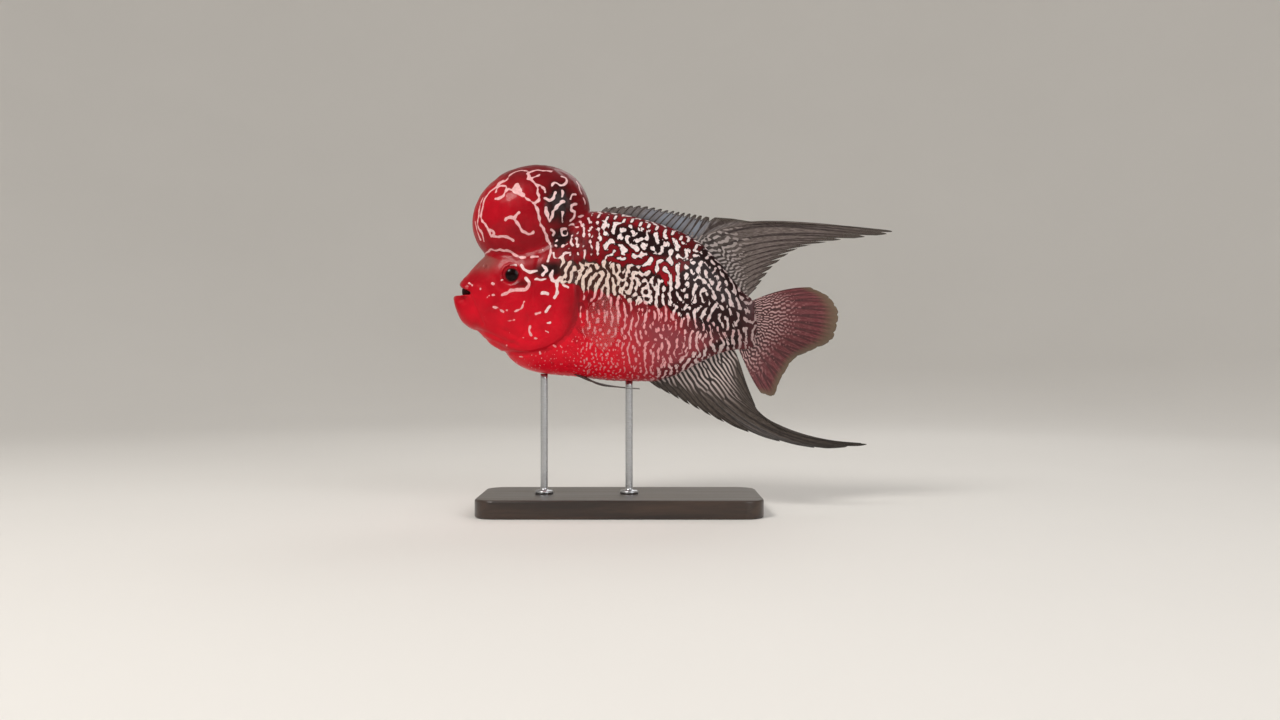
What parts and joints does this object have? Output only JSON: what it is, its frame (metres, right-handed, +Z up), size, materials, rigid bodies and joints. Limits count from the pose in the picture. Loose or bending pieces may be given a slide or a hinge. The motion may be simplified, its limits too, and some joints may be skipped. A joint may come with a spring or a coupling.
{
  "type": "flowerhorn cichlid display model",
  "caption": "Life-size still model of a male flowerhorn cichlid with a tall head hump and long trailing fins, held over a plain base by slim rods.",
  "frame": {"origin": "middle of the underside of the stand's base, on the floor", "axes": "+X runs from the head to the tail, +Y to the fish's right side, +Z up; the left side faces -Y"},
  "size_m": [0.2911, 0.084, 0.2285],
  "materials": {
    "red_skin": "wet glossy skin, saturated red",
    "pearl_skin": "glossy scaled skin, crimson and mauve with white and black worm marks",
    "eye_glaze": "clear glossy cornea over a dark red iris and a black pupil",
    "fin_skin": "thin satin membrane, grey-brown, streaked along the rays",
    "tail_skin": "thin satin membrane, maroon with pale marks",
    "clear_fin": "thin, nearly clear membrane with a red tint",
    "dark_wood": "dark stained wood, satin varnish",
    "steel": "brushed steel rod"
  },
  "bodies": {
    "root": {"head": "red_skin", "lower_jaw": "red_skin", "nuchal_hump": "red_skin", "gill_cover_left": "red_skin", "gill_cover_right": "red_skin", "torso": "pearl_skin", "tail_stalk": "pearl_skin", "eye_left": "eye_glaze", "eye_right": "eye_glaze", "dorsal_fin": "fin_skin", "anal_fin": "fin_skin", "caudal_fin": "tail_skin", "pectoral_fin_left": "clear_fin", "pectoral_fin_right": "clear_fin", "pelvic_fin_left": "clear_fin", "pelvic_fin_right": "clear_fin", "stand_base": "dark_wood", "stand_rod_front": "steel", "stand_rod_rear": "steel"}
  },
  "joints": []
}
